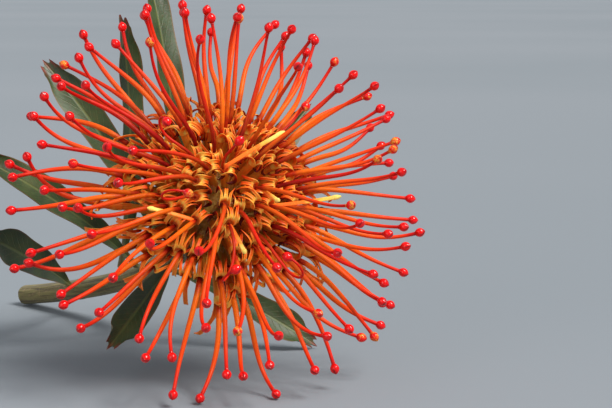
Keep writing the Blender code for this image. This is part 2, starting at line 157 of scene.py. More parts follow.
LEAVES = {
    "leaf_1": (0.22, 97, 0.074, 0.0042, 50, 92, 34),
    "leaf_2": (0.30, 124, 0.060, 0.0044, 56, 98, -26),
    "leaf_3": (0.38, 44, 0.060, 0.0042, 50, 92, 12),
    "leaf_4": (0.44, 152, 0.059, 0.0046, 56, 92, 18),
    "leaf_5": (0.28, 10, 0.042, 0.0042, 56, 92, -10),
    "leaf_6": (0.76, 166, 0.058, 0.0050, 50, 66, -8),
    "leaf_7": (0.24, 226, 0.038, 0.0042, 54, 78, 0),
    "leaf_8": (0.34, 322, 0.043, 0.0043, 54, 84, 0),
    "leaf_9": (0.56, 106, 0.076, 0.0048, 44, 70, 22),
}
LEAF_THICKNESS = 0.0009
LEAF_CUP = 0.0016
TOOTH = 0.0016
FLOOR_GAP = 0.0001
# A leaf's outline: its width follows a sine over this part of its length, raised to two powers,
# and it narrows by the shoulder's depth over the last part. The stalk is the narrowest.
LEAF_SINE = (0.03, 0.62)
LEAF_POWERS = (1.05, 1.15)
LEAF_SHOULDER = (0.80, 0.42)
LEAF_STALK = 0.16

BRACTS = 9
BRACT_LENGTH = 0.0080
BRACT_HALF_WIDTH = 0.0021
BRACT_LEAN = (math.radians(38), math.radians(66))
BRACT_START = (0.0050, -0.0078)

Floret = namedtuple("Floret", "tuft path length perianth")


def smooth(t):
    """0 below 0, 1 above 1, and an even ease between them."""
    t = np.clip(t, 0.0, 1.0)
    return t * t * (3.0 - 2.0 * t)


def mix(pair, share):
    return pair[0] + (pair[1] - pair[0]) * share


def head_matrix():
    turn = Matrix.Rotation(math.pi / 2 - HEAD_TILT, 4, "X")
    return Matrix.Translation(HEAD_PLACE) @ turn


def to_world(points):
    """Head-frame points in world space, in an array of any shape that ends in x, y, z."""
    matrix = np.array(head_matrix())
    return points @ matrix[:3, :3].T + matrix[:3, 3]


def receptacle_radius(height):
    """The receptacle's radius at a height above its base."""
    share = min(max(height / RECEPTACLE_HEIGHT, 0.0), 1.0)
    return RECEPTACLE_RADIUS * (1.0 - share**RECEPTACLE_SWELL) ** RECEPTACLE_CLOSE


def receptacle_slope(height):
    """The unit outward normal (radial, axial) of the receptacle at a height."""
    low = max(height - SLOPE_STEP, 0.0)
    high = min(height + SLOPE_STEP, RECEPTACLE_APEX)
    across = receptacle_radius(high) - receptacle_radius(low)
    normal = Vector((high - low, -across))
    return normal.normalized()


def receptacle_heights(count):
    """Heights that share the receptacle's surface evenly, from the apex down."""
    heights = [RECEPTACLE_HEIGHT * (1.0 - i / AREA_SAMPLES) for i in range(AREA_SAMPLES + 1)]
    areas = [0.0]
    for high, low in zip(heights, heights[1:]):
        radii = receptacle_radius(high), receptacle_radius(low)
        side = math.hypot(high - low, radii[1] - radii[0])
        areas.append(areas[-1] + (radii[0] + radii[1]) * side)
    usable = np.interp(RIM_MARGIN, heights[::-1], areas[::-1])
    wanted = [(i + FIRST_PAD) / count * usable for i in range(count)]
    return np.interp(wanted, areas, heights)


def pad_frames():
    """Centre, normal and two tangents of each tuft's pad, in the head's frame."""
    frames = []
    for index, height in enumerate(receptacle_heights(TUFTS)):
        azimuth = index * GOLDEN_ANGLE
        radial = Vector((math.cos(azimuth), math.sin(azimuth), 0.0))
        across = Vector((-math.sin(azimuth), math.cos(azimuth), 0.0))
        slope = receptacle_slope(height)
        normal = (radial * slope.x + Vector((0, 0, slope.y))).normalized()
        centre = radial * receptacle_radius(height) + Vector((0, 0, height)) + normal * GAP
        frames.append((centre, normal, across, normal.cross(across)))
    return frames


def floret_radii(arc, length, perianth):
    """The radius of a floret's plain solid along its length."""
    before, at, beyond = CROWN_REACH
    stations = (
        (0.0, TUBE_RADIUS),
        (perianth - before, TUBE_RADIUS * TUBE_SWELL),
        (perianth + at, CROWN_RADIUS),
        (perianth + beyond, STYLE_RADIUS),
        (length - PRESENTER_LENGTH, NECK_RADIUS),
        (length - PRESENTER_LENGTH * PRESENTER_WIDEST, PRESENTER_RADIUS),
        (length, PRESENTER_RADIUS * PRESENTER_TIP),
    )
    return np.interp(arc, [s for s, _ in stations], [r for _, r in stations])


def floret_stations(length, perianth):
    """Where the plain solid's cross-sections stand along its length."""
    before, at, beyond = CROWN_REACH
    start = perianth + beyond
    bend = length - PRESENTER_LENGTH
    stops = [start + (bend - start) * stop for stop in STYLE_STOPS]
    widest = length - PRESENTER_LENGTH * PRESENTER_WIDEST
    crown = [perianth - before, perianth + at]
    return np.array([FLORET_ROOT, *crown, start, *stops, bend, widest, length])


def floret_path(base, azimuth, plan):
    """A floret's centre line in world space, bent up where it would pass through the surface."""
    length, perianth, start, crown, spread, hook, side = plan
    arc = np.linspace(0.0, length, PATH_SAMPLES)
    share = arc / length
    polar = start + (crown - start) * smooth(arc / perianth)
    polar += (spread - crown) * smooth((arc - perianth * SPREAD_START) / (SPREAD_SHARE * length))
    polar -= hook * smooth((share - HOOK_START) / (1.0 - HOOK_START))
    turn = azimuth + side * smooth((share - SIDE_START) / (1.0 - SIDE_START))
    heading = np.stack(
        [np.sin(polar) * np.cos(turn), np.sin(polar) * np.sin(turn), np.cos(polar)], axis=1
    )
    steps = (heading[1:] + heading[:-1]) * 0.5 * length / (PATH_SAMPLES - 1)
    path = np.vstack([np.zeros(3), np.cumsum(steps, axis=0)]) + np.array(base)
    world = to_world(path)
    radii = floret_radii(arc, length, perianth)
    for _ in range(LIFT_PASSES):
        sunk = float((world[:, 2] - radii).min())
        if sunk < 0.0:
            world[:, 2] -= sunk * share**2
    return arc, world


def measured(arc, world, length, perianth):
    """The straight-sided floret that its cross-sections make, sampled evenly."""
    stations = floret_stations(length, perianth)
    corners = np.stack([np.interp(stations, arc, world[:, axis]) for axis in range(3)], axis=1)
    even = np.linspace(stations[0], stations[-1], PATH_SAMPLES)
    points = np.stack([np.interp(even, stations, corners[:, axis]) for axis in range(3)], axis=1)
    return points, floret_radii(even, length, perianth)


def closest(points, radii, placed):
    """The smallest gap between a floret and those already placed, which are points and radii."""
    if not placed:
        return 1.0
    others = np.concatenate([each[0] for each in placed])
    other_radii = np.concatenate([each[1] for each in placed])
    squares = (others**2).sum(axis=1)[:, None] + (points**2).sum(axis=1)[None, :]
    apart = np.sqrt(np.maximum(squares - 2.0 * others @ points.T, 0.0))
    return float((apart - other_radii[:, None] - radii[None, :]).min())


def jitter(rng, degrees):
    return rng.gauss(0, math.radians(degrees))


def floret_plan(rng, share, late, ease):
    """How one floret bends: share is 0 for the innermost floret and 1 for the outermost."""
    length = mix(FLORET_LENGTH, share) * rng.uniform(*LENGTH_RANGE)
    perianth = mix(PERIANTH_LENGTH, share) * rng.uniform(*PERIANTH_RANGE)
    lean = share**POLAR_EASE
    start = mix(START_POLAR, lean) + jitter(rng, START_JITTER) * ease
    crown = mix(CROWN_POLAR, lean) + jitter(rng, CROWN_JITTER) * ease
    spread = mix(SPREAD_POLAR, lean) + jitter(rng, SPREAD_JITTER) * ease
    hook = HOOK * rng.uniform(*HOOK_RANGE)
    side = jitter(rng, SIDE_JITTER)
    if late is not None:
        length, spread, hook, side = late
        spread = math.radians(spread) + jitter(rng, LATE_SPREAD_JITTER) * ease
        hook = math.radians(hook)
        side = math.radians(side) + jitter(rng, LATE_SIDE_JITTER) * ease
    return length, perianth, start, crown, spread, hook, side


def floret_base(frame, spin, corner):
    """Where a floret stands on its pad, and the azimuth it leans towards, in the head's frame."""
    centre, normal, across, along = frame
    angle = spin + corner * math.tau / TUFT_FLORETS
    offset = (across * math.cos(angle) + along * math.sin(angle)) * FLORET_SPACING
    aim = math.atan2(centre.y + offset.y * FLORET_FAN, centre.x + offset.x * FLORET_FAN)
    return centre + offset + normal * PAD_THICKNESS, aim


def grow_floret(rng, number, base, aim, placed):
    """The first of many tries that keeps clear of the florets already placed, or the clearest."""
    share = (number + 0.5) / (TUFTS * TUFT_FLORETS)
    late = LATE.get(number)
    best_gap = -1.0
    for attempt in range(ATTEMPTS):
        ease = 1.0 + attempt / ATTEMPTS
        azimuth = aim + jitter(rng, AIM_JITTER) * ease
        plan = floret_plan(rng, share, late, ease)
        arc, world = floret_path(base, azimuth, plan)
        outline = measured(arc, world, plan[0], plan[1])
        gap = closest(*outline, placed)
        if gap > best_gap:
            best_gap = gap
            best = Floret(number // TUFT_FLORETS, world, plan[0], plan[1])
            best_outline = outline
        if gap > CLEARANCE:
            break
    placed.append(best_outline)
    return best


def grow_florets():
    """Every floret, in tufts. The late ones grow first, since their styles need the most room."""
    rng = random.Random(SEED)
    frames = pad_frames()
    spins = [rng.uniform(0, math.tau) for _ in frames]
    placed = []
    florets = {}
    for number in sorted(range(TUFTS * TUFT_FLORETS), key=lambda each: each not in LATE):
        tuft, corner = divmod(number, TUFT_FLORETS)
        base, aim = floret_base(frames[tuft], spins[tuft], corner)
        florets[number] = grow_floret(rng, number, base, aim, placed)
    return [florets[number] for number in sorted(florets)]


def stem_path():
    """Evenly spaced points down the stem's middle, from the head to the cut end."""
    step = STEM_LENGTH / STEM_SAMPLES
    place = head_matrix() @ Vector((0, 0, -RECEPTACLE_FOOT - GAP))
    points = [place.copy()]
    for i in range(STEM_SAMPLES):
        share = (i + 0.5) / STEM_SAMPLES
        slope = STEM_END_SLOPE + (HEAD_TILT - STEM_END_SLOPE) * (1.0 - share) ** STEM_EASE
        swing = STEM_SWING * float(smooth(share * STEM_SWING_END))
        heading = Vector((math.sin(swing), math.cos(swing), 0.0)) * math.cos(slope)
        place = place + (heading - Vector((0, 0, math.sin(slope)))) * step
        points.append(place.copy())
    return points


def stem_radius(distance):
    share = float(smooth(distance / STEM_NECK))
    return STEM_NECK_RADIUS + (STEM_RADIUS - STEM_NECK_RADIUS) * share


def stem_spot(points, share):
    """The stem's middle and its direction towards the head, at a share of its length."""
    place = share * (len(points) - 1)
    i = min(int(place), len(points) - 2)
    centre = points[i].lerp(points[i + 1], place - i)
    return centre, (points[i] - points[i + 1]).normalized()


def leaf_half_width(share):
    """The leaf's half width as a share of its widest: a narrow stalk, then a long blade."""
    reach = LEAF_SINE[0] + LEAF_SINE[1] * share
    blade = math.sin(math.pi * reach ** LEAF_POWERS[0]) ** LEAF_POWERS[1]
    start, depth = LEAF_SHOULDER
    shoulder = 1.0 - depth * float(smooth((share - start) / (1.0 - start)))
    return max(blade * shoulder, LEAF_STALK)


# ---------------- making of meshes


class Shape:
    """Closed bodies gathered into one mesh, with named fields that hold a number per point."""

    def __init__(self):
        self.points = []
        self.faces = []
        self.fields = {}
        self.count = 0

    def add(self, rings, flat=False, **fields):
        """Skins one body through rings (rows by sides points) and closes both of its ends."""
        rings = np.asarray(rings, dtype=float)
        rows, sides = rings.shape[:2]
        index = self.count + np.arange(rows * sides).reshape(rows, sides)
        after = np.roll(index, -1, axis=1)
        quads = np.stack([index[:-1], after[:-1], after[1:], index[1:]], axis=-1)
        self.faces += quads.reshape(-1, 4).tolist()
        for ring in (index[0][::-1].tolist(), index[-1].tolist()):
            if flat:
                for i in range(sides // 2 - 1):
                    self.faces.append([ring[i], ring[i + 1], ring[-2 - i], ring[-1 - i]])
            else:
                self.faces.append(ring)
        for name, value in fields.items():
            values = np.broadcast_to(value, (rows, sides)).reshape(-1)
            self.fields.setdefault(name, []).append(values)
        self.points.append(rings.reshape(-1, 3))
        self.count += rows * sides

    def build(self, name, skin):
        """The mesh as an object, smooth, with its faces pointing out."""
        mesh = bpy.data.meshes.new(name)
        mesh.from_pydata(np.concatenate(self.points).tolist(), [], self.faces)
        for field, values in self.fields.items():
            layer = mesh.attributes.new(field, "FLOAT", "POINT")
            layer.data.foreach_set("value", np.concatenate(values).astype(np.float32))
        bm = bmesh.new()
        bm.from_mesh(mesh)
        bmesh.ops.recalc_face_normals(bm, faces=bm.faces)
        bm.to_mesh(mesh)
        bm.free()
        mesh.shade_smooth()
        mesh.set_sharp_from_angle(angle=math.radians(60))
        mesh.materials.append(skin)
        made = bpy.data.objects.new(name, mesh)
        bpy.context.scene.collection.objects.link(made)
        return made


def add_piece(shape, name, skin, slot, *nodes):
    """Builds a piece of the flower that stands for the CAD nodes given."""
    piece = shape.build(name, skin)
    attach(piece, "root")
    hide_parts(*nodes)
    return piece


def unit(vectors):
    return vectors / np.linalg.norm(vectors, axis=-1, keepdims=True)


def turns(sides):
    return np.arange(sides) / sides * math.tau


def there_and_back(columns):
    return np.concatenate([columns, columns[::-1]])


def sheet_ring(line, face, depth):
    """The outline of a thin sheet's cross-section: out along one face, back along the other."""
    rise = face * depth[:, None]
    return np.concatenate([line + rise, (line - rise)[::-1]])


def along_path(path, length, stations):
    """Points at distances along an evenly sampled path, on a smooth curve through its samples."""
    last = len(path) - 1
    place = np.clip(np.asarray(stations) / length * last, 0.0, last - 1e-6)
    i = place.astype(int)
    t = (place - i)[:, None]
    slopes = np.gradient(path, axis=0)
    ease = t * t * (3.0 - 2.0 * t)
    swing = slopes[i] * (t * (1.0 - t) ** 2) - slopes[i + 1] * (t * t * (1.0 - t))
    return path[i] * (1.0 - ease) + path[i + 1] * ease + swing


def cross_frames(path, guide):
    """Tangents and two cross directions, turned as little as possible, along a path."""
    tangents = unit(np.gradient(path, axis=0))
    first = []
    for tangent in tangents:
        guide = guide - tangent * (guide @ tangent)
        guide = guide / np.linalg.norm(guide)
        first.append(guide)
    first = np.array(first)
    return tangents, first, np.cross(tangents, first)


def around(sides):
    """The fields that say where round its body each point lies."""
    return {"cosine": np.cos(turns(sides)), "sine": np.sin(turns(sides))}


def spokes(first, second, sides):
    """Unit vectors all round a path, for each row of its two cross directions."""
    angles = turns(sides)
    across = first[:, None] * np.cos(angles)[:, None]
    return across + second[:, None] * np.sin(angles)[:, None]


def round_rings(path, guide, radii, sides):
    """Rings of a given radius (a number per row, or rows by sides) about a path."""
    _, first, second = cross_frames(path, guide)
    radii = np.asarray(radii)
    if radii.ndim == 1:
        radii = radii[:, None]
    return path[:, None] + spokes(first, second, sides) * radii[:, :, None]


# ---------------- materials

NOISE_RANGE = (0.3, 0.7)  # where nearly all of a noise's values lie


def srgb(red, green, blue):
    """A colour given as sRGB numbers from 0 to 255, in the linear values that shaders take."""
    shares = (red / 255, green / 255, blue / 255)
    linear = [s / 12.92 if s <= 0.04045 else ((s + 0.055) / 1.055) ** 2.4 for s in shares]
    return (*linear, 1.0)


class Skin:
    """A Principled material and short ways to wire its nodes."""

    def __init__(self, name, **settings):
        self.material = bpy.data.materials.new(name)
        self.material.use_nodes = True
        self.tree = self.material.node_tree
        self.shader = self.tree.nodes["Principled BSDF"]
        for key, value in settings.items():
            self.shader.inputs[key.replace("_", " ")].default_value = value

    def node(self, kind, **settings):
        made = self.tree.nodes.new(f"ShaderNode{kind}")
        for key, value in settings.items():
            setattr(made, key, value)
        return made

    def plug(self, socket, value):
        if isinstance(value, bpy.types.NodeSocket):
            self.tree.links.new(value, socket)
        else:
            socket.default_value = value

    def field(self, name):
        return self.node("Attribute", attribute_name=name).outputs["Fac"]

    def vector(self, *values):
        made = self.node("CombineXYZ")
        for socket, value in zip(made.inputs, values):
            self.plug(socket, value)
        return made.outputs[0]

    def noise(self, scale, detail, vector=None):
        """Noise of a given fineness, over the object's own space if no vector is given."""
        made = self.node("TexNoise")
        self.plug(made.inputs["Vector"], vector or self.node("TexCoord").outputs["Object"])
        made.inputs["Scale"].default_value = scale
        made.inputs["Detail"].default_value = detail
        return made.outputs["Fac"]

    def calc(self, operation, one, two=0.0, clamp=False):
        made = self.node("Math", operation=operation, use_clamp=clamp)
        self.plug(made.inputs[0], one)
        self.plug(made.inputs[1], two)
        return made.outputs[0]

    def plus(self, one, two, clamp=False):
        return self.calc("ADD", one, two, clamp)

    def times(self, one, two, clamp=False):
        return self.calc("MULTIPLY", one, two, clamp)

    def spread(self, value, low, high, to_low=0.0, to_high=1.0):
        """Maps low..high to another range, clamped."""
        made = self.node("MapRange", clamp=True)
        for key, number in zip(range(5), (value, low, high, to_low, to_high)):
            self.plug(made.inputs[key], number)
        return made.outputs[0]

    def vary(self, value, noise, amount):
        """A value that a noise moves up or down by no more than an amount."""
        return self.plus(value, self.spread(noise, *NOISE_RANGE, -amount, amount))

    def ramp(self, value, *stops):
        """A colour ramp whose stops are a place, red, green and blue."""
        made = self.node("ValToRGB")
        elements = made.color_ramp.elements
        while len(elements) < len(stops):
            elements.new(0.5)
        for element, (place, *colour) in zip(elements, stops):
            element.position = place
            element.color = srgb(*colour)
        self.plug(made.inputs[0], value)
        return made.outputs[0]

    def blend(self, share, one, two, mode="MIX"):
        made = self.node("Mix", data_type="RGBA", blend_type=mode)
        self.plug(made.inputs[0], share)
        self.plug(made.inputs[6], one)
        self.plug(made.inputs[7], two)
        return made.outputs[2]

    def dim(self, colour, light):
        """A colour times a brightness."""
        return self.blend(1.0, colour, self.vector(light, light, light), "MULTIPLY")

    def bump(self, height, distance, strength):
        made = self.node("Bump")
        self.plug(made.inputs["Height"], height)
        made.inputs["Distance"].default_value = distance
        made.inputs["Strength"].default_value = strength
        self.plug(self.shader.inputs["Normal"], made.outputs[0])

    def paint(self, colour, noise, smoothest, roughest, noise_range=NOISE_RANGE):
        """The finished material, whose roughness follows a noise between two values."""
        self.plug(self.shader.inputs["Base Color"], colour)
        rough = self.spread(noise, *noise_range, smoothest, roughest)
        self.plug(self.shader.inputs["Roughness"], rough)
        return self.material


def style_skin():
    """Styles: golden orange near the base, scarlet at the tip, some of them red all the way. Where
    they leave the crown they start darker: painted shade.
    """
    skin = Skin("style", Specular_IOR_Level=0.20, Subsurface_Weight=0.12, Subsurface_Scale=0.0006)
    along = skin.field("along")
    around = skin.vector(skin.field("cosine"), skin.field("sine"), skin.times(along, 5.0))
    streaks = skin.noise(2.2, 4.0, around)
    mottle = skin.noise(420.0, 3.0)
    shifted = skin.vary(along, mottle, 0.05)
    # Both ramps start darker at 0, where the style leaves the crown: painted shade.
    orange = skin.ramp(
        shifted,
        (0.00, 132, 14, 8), (0.08, 196, 52, 12), (0.18, 250, 118, 14), (0.34, 255, 112, 12),
        (0.62, 250, 84, 10), (0.86, 236, 50, 10), (1.00, 204, 14, 10),
    )
    red = skin.ramp(
        shifted,
        (0.00, 100, 4, 8), (0.22, 168, 8, 6), (0.50, 206, 22, 8), (0.80, 214, 20, 8),
        (1.00, 198, 8, 10),
    )
    share = skin.plus(skin.field("tint"), skin.spread(streaks, 0.35, 0.65, -0.18, 0.18), True)
    colour = skin.blend(share, orange, red)
    colour = skin.dim(colour, skin.spread(streaks, 0.3, 0.75, 0.86, 1.08))
    skin.bump(skin.plus(streaks, mottle), 0.00006, 0.6)
    return skin.paint(colour, mottle, 0.36, 0.50)


def presenter_skin():
    """Pollen presenters: glossy scarlet, some of them dusted with golden pollen."""
    gloss = {"Specular_IOR_Level": 0.3, "Coat_Weight": 0.25, "Coat_Roughness": 0.10}
    skin = Skin("presenter", Subsurface_Weight=0.08, Subsurface_Scale=0.0008, **gloss)
    mottle = skin.noise(700.0, 4.0)
    red = skin.ramp(
        skin.vary(skin.field("along"), mottle, 0.12),
        (0.0, 186, 8, 8), (0.35, 238, 8, 8), (0.80, 242, 12, 10), (1.0, 180, 4, 8),
    )
    dark = skin.blend(skin.field("groove"), red, srgb(110, 6, 10))
    fine = skin.spread(skin.noise(2600.0, 2.0), 0.36, 0.52)
    grains = skin.times(fine, skin.spread(mottle, 0.46, 0.58))
    dusted = skin.times(skin.field("pollen"), grains, True)
    colour = skin.blend(dusted, dark, srgb(236, 150, 44))
    skin.bump(skin.plus(mottle, skin.times(dusted, 1.5)), 0.00005, 0.7)
    return skin.paint(colour, dusted, 0.24, 0.75, (0.0, 1.0))


def perianth_skin():
    """Perianths: olive tubes whose orange lobes curl over and end in limbs. The yellow on the
    ridges and rims is painted highlight, and the dark red where the lobes curl under is painted
    shade.
    """
    skin = Skin("perianth", Specular_IOR_Level=0.3, Subsurface_Weight=0.15, Subsurface_Scale=0.0006)
    mottle = skin.noise(520.0, 4.0)
    shifted = skin.vary(skin.field("turn"), mottle, 0.05)
    # Along a lobe's roll: the yellow at 0.48, on top of the fold, is a painted highlight, and the
    # darkening from 0.72 on, where the lobe hangs down and curls under, is painted shade.
    faces = skin.ramp(
        shifted,
        (0.00, 200, 160, 60), (0.20, 228, 140, 40), (0.34, 250, 112, 22), (0.48, 255, 196, 76),
        (0.56, 255, 126, 26), (0.72, 244, 78, 18), (0.86, 158, 28, 14), (1.00, 86, 12, 6),
    )
    # On the lobes the paler, yellower rims are a painted highlight along the ribs and edges; on the
    # straps they make the pale limb.
    rims = skin.ramp(
        shifted,
        (0.00, 176, 146, 56), (0.30, 252, 144, 34), (0.44, 255, 234, 120), (0.56, 255, 190, 60),
        (0.74, 250, 112, 26), (0.88, 210, 50, 18), (1.00, 110, 16, 12),
    )
    colour = skin.blend(skin.spread(skin.field("edge"), 0.45, 1.0), faces, rims)
    deep = skin.blend(1.0, colour, srgb(226, 150, 116), "MULTIPLY")
    colour = skin.blend(skin.spread(skin.field("tint"), 0.0, 1.0, 0.0, 0.55), colour, deep)
    fuzz = skin.noise(1900.0, 2.0)
    skin.bump(skin.plus(fuzz, mottle), 0.00007, 0.7)
    return skin.paint(colour, fuzz, 0.40, 0.58)


def wool_skin():
    """The woolly scales at the florets' feet, and the receptacle."""
    skin = Skin("wool", Sheen_Weight=0.35, Sheen_Roughness=0.5)
    strands = skin.noise(1500.0, 4.0)
    patches = skin.noise(240.0, 3.0)
    tones = skin.ramp(
        skin.plus(skin.times(strands, 0.5), skin.times(patches, 0.5)),
        (0.30, 190, 150, 56), (0.50, 226, 184, 84), (0.70, 248, 216, 140),
    )
    colour = skin.blend(skin.field("tip"), tones, srgb(196, 104, 40))
    skin.bump(skin.plus(strands, patches), 0.00025, 0.8)
    return skin.paint(colour, strands, 0.72, 0.92)


def bract_skin():
    """Involucral scales: papery tan, greener at the foot and brown at the tip, with fine hairs."""
    skin = Skin("bract", Sheen_Weight=0.25, Sheen_Roughness=0.5)
    along = skin.field("along")
    across = skin.field("across")
    place = skin.vector(skin.times(across, 14.0), skin.times(along, 3.0), skin.field("tint"))
    fibres = skin.noise(1.0, 4.0, place)
    spots = skin.noise(600.0, 3.0)
    colour = skin.ramp(
        skin.vary(along, spots, 0.12),
        (0.0, 120, 118, 62), (0.45, 168, 142, 84), (0.8, 158, 104, 58), (1.0, 98, 48, 30),
    )
    pale = skin.blend(1.0, colour, srgb(214, 204, 178), "SCREEN")
    margin = skin.spread(skin.calc("ABSOLUTE", across), 0.72, 1.0, 0.0, 0.35)
    colour = skin.blend(margin, colour, pale)
    colour = skin.dim(colour, skin.spread(fibres, 0.35, 0.65, 0.72, 1.05))
    skin.bump(skin.plus(fibres, spots), 0.00015, 0.8)
    return skin.paint(colour, fibres, 0.55, 0.8)


def stem_skin():
    """The woody stem: green-brown bark with ridges and fine hairs, and a pale cut end."""
    skin = Skin("stem", Sheen_Weight=0.15, Sheen_Roughness=0.5)
    cut = skin.field("cut")
    around = [skin.times(skin.field(name), 3.0) for name in ("cosine", "sine")]
    grain = skin.noise(1.6, 5.0, skin.vector(*around, skin.times(skin.field("along"), 9.0)))
    lenticels = skin.noise(900.0, 3.0)
    bark = skin.ramp(
        grain,
        (0.30, 66, 52, 30), (0.46, 104, 92, 48), (0.62, 126, 118, 66), (0.76, 142, 104, 66),
    )
    bark = skin.blend(skin.spread(lenticels, 0.56, 0.68, 0.0, 0.5), bark, srgb(150, 124, 84))
    rings = skin.noise(1.0, 3.0, skin.vector(skin.times(cut, 9.0), 0.0, 0.0))
    wood = skin.ramp(rings, (0.35, 214, 200, 158), (0.65, 178, 160, 112))
    pith = skin.blend(skin.spread(cut, 0.86, 0.96), wood, srgb(146, 116, 76))
    colour = skin.blend(skin.spread(cut, 0.02, 0.06), bark, pith)
    skin.bump(skin.plus(grain, skin.times(lenticels, 0.4)), 0.0004, 0.7)
    return skin.paint(colour, grain, 0.6, 0.82)


def leaf_skin():
    """Leathery leaves: grey-green, paler below and along the veins, with red-brown calluses."""
    gloss = {"Coat_Weight": 0.10, "Coat_Roughness": 0.35}
    skin = Skin("leaf", Subsurface_Weight=0.05, Subsurface_Scale=0.0008, **gloss)
    along = skin.field("along")
    across = skin.calc("ABSOLUTE", skin.field("across"))
    patches = skin.noise(130.0, 4.0)
    pores = skin.noise(1500.0, 3.0)
    upper = skin.ramp(patches, (0.30, 38, 56, 26), (0.52, 56, 76, 36), (0.72, 78, 92, 46))
    lower = skin.ramp(patches, (0.30, 62, 78, 48), (0.55, 82, 98, 62), (0.75, 100, 110, 70))
    colour = skin.blend(skin.field("under"), upper, lower)
    # Side veins leave the midrib at a narrow angle and run forwards.
    phase = skin.calc("SUBTRACT", skin.times(along, 17.0), skin.times(across, 2.6))
    crest = skin.calc("PINGPONG", skin.vary(phase, patches, 0.25), 0.5)
    midrib = skin.spread(across, 0.03, 0.12, 1.0, 0.0)
    veins = skin.times(skin.spread(crest, 0.42, 0.5), skin.spread(across, 0.6, 1.0, 0.45, 0.0))
    lines = skin.calc("MAXIMUM", midrib, veins)
    colour = skin.blend(skin.times(lines, 0.5), colour, srgb(122, 130, 70))
    stalk = skin.spread(along, 0.0, 0.16, 0.7, 0.0)
    colour = skin.blend(stalk, colour, srgb(134, 122, 66))
    margin = skin.spread(across, 0.90, 1.0, 0.0, 0.6)
    colour = skin.blend(margin, colour, srgb(142, 96, 56))
    callus = skin.plus(skin.field("callus"), skin.spread(pores, 0.4, 0.6, -0.08, 0.08), True)
    colour = skin.blend(callus, colour, srgb(126, 34, 24))
    relief = skin.calc("SUBTRACT", skin.times(pores, 0.35), skin.times(lines, 0.8))
    skin.bump(relief, 0.00022, 0.7)
    return skin.paint(colour, patches, 0.42, 0.58)


def floor_skin():
    """A plain matt studio surface with a very faint texture."""
    skin = Skin("studio_floor")
    patches = skin.noise(1.3, 2.0)
    colour = skin.ramp(patches, (0.35, 130, 138, 145), (0.65, 135, 142, 149))
    return skin.paint(colour, patches, 0.85, 0.95)


# ---------------- florets

STYLE_SIDES = 10
STYLE_ROWS = 44
STYLE_PROFILE = ((0.0, 0.00060), (0.10, 0.00074), (0.45, 0.00069), (0.90, 0.00048), (1.0, 0.00052))
STYLE_SLIM = 0.74  # how thin the innermost styles are beside the outermost
LATE_SLIM = 0.56

KNOB_SIDES = 16
KNOB_ROWS = 13
KNOB_LENGTH = 0.00285
KNOB_RADIUS = 0.00116
POLLEN_SHARE = 0.14

CLAW_ROWS = 24
CLAW_COLUMNS = 5
CLAW_BEFORE = 0.0024
MOUTH_RADIUS = 0.00100
MOUTH_TURN = 0.26  # the colour field "turn" where the tube ends and the lobes begin
TUBE_ROWS = 12
TUBE_SIDES = 8
TUBE_FOOT = 0.0002
TUBE_OVERLAP = 0.0005
TUBE_PROFILE = ((0.0, 0.00080), (0.15, 0.00100), (0.55, 0.00106), (1.0, MOUTH_RADIUS * 0.97))
CLAW_LENGTH = (0.0088, 0.0078)  # of the three joined lobes and of the free one
# Where a lobe bends, as shares of its length, and its heading there: up, folded over, then the
# leg that hangs down and the limb that curls under (degrees).
CLAW_BENDS = ((0.0, 0.15, 0.42, 0.74, 1.0), (0, 14, 148, 190, 300))
OPENED = 0.24  # the share of a lobe over which the mouth opens into the flatter lobes
SHEET_HALF_WIDTH = 0.00180
SHEET_CURVE = 0.00135
FREE_CURVE = 0.00100
LEG_START = 0.28
LIMB_START = 0.74
TIP_START = 0.84
LEG_CURVE = 0.00058
LIMB_CURVE = 0.00042
LEG_FAN = 0.00110
CLAW_THICKNESS = 0.00024
# A lobe's underside goes further along the colour ramp, so it is darker and redder: painted shade.
WARM_TURN = 0.09  # how much further the colour of a warm lobe goes, and of a lobe's underside
UNDER_SHADE_TURN = 0.22
# The paler rims are a painted highlight, which fades on a warm lobe.
WARM_EDGE = 0.55  # how much paler rims fade on a warm lobe
# Of the innermost and the outermost florets: the crown's scale, and the free lobe's half width,
# reach and roll beside CLAW_LENGTH and CLAW_BENDS.
CROWN_SCALE = (0.70, 1.14)
FREE_HALF_WIDTH = (0.00072, 0.00100)
FREE_REACH = (1.0, 1.30)
FREE_ROLL = (1.0, 0.36)
# How much crowns differ from one another: the twist is a standard deviation in degrees.
CROWN_TWIST = 22
CROWN_RANGE = (0.88, 1.12)
ROLL_RANGE = (0.84, 1.06)
FREE_ROLL_RANGE = (0.75, 1.05)

HEAD_AXIS = np.array([0.0, -math.cos(HEAD_TILT), math.sin(HEAD_TILT)])


def outward(point, fallback):
    """The direction away from the head's axis at a point."""
    offset = point - np.array(HEAD_PLACE)
    radial = offset - HEAD_AXIS * (offset @ HEAD_AXIS)
    return unit(radial + fallback * 1e-6)


def add_style(shape, floret, tint, late):
    start = floret.perianth - CLAW_BEFORE * 0.6
    end = floret.length - KNOB_LENGTH * 0.75
    share = np.linspace(0.0, 1.0, STYLE_ROWS)
    path = along_path(floret.path, floret.length, start + (end - start) * share)
    radii = np.interp(share, *zip(*STYLE_PROFILE))
    radii = radii * (LATE_SLIM if late else mix((STYLE_SLIM, 1.0), floret.tuft / TUFTS))
    rings = round_rings(path, HEAD_AXIS, radii, STYLE_SIDES)
    shape.add(rings, along=share[:, None], tint=tint, **around(STYLE_SIDES))


